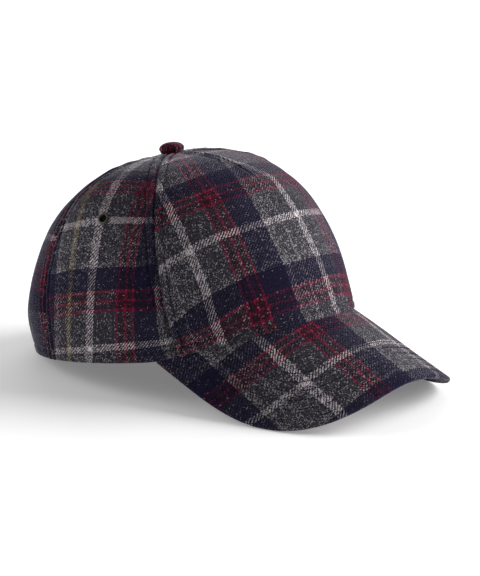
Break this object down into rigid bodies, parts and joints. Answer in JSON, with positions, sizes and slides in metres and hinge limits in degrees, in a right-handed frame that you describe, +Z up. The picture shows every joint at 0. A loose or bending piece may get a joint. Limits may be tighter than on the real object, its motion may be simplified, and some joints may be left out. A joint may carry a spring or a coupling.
{
  "type": "tartan baseball cap",
  "caption": "Wool tartan cap with a rounded panelled crown, curved peak, covered top button and metal eyelets, resting on its peak and hem.",
  "frame": {"origin": "centre of the cap's box on the surface that it rests on", "axes": "+Z up, the peak points to -Y, the wearer's left is +X"},
  "size_m": [0.1778, 0.2602, 0.13],
  "materials": {
    "tartan_wool": "brushed wool twill in a charcoal, navy, red and off-white tartan",
    "eyelet_metal": "blackened gunmetal"
  },
  "bodies": {
    "root": {"front_panel": "tartan_wool", "side_panel_right": "tartan_wool", "side_panel_left": "tartan_wool", "back_panel_right": "tartan_wool", "back_panel_left": "tartan_wool", "peak": "tartan_wool", "button": "tartan_wool", "eyelet_right": "eyelet_metal", "eyelet_left": "eyelet_metal"}
  },
  "joints": []
}
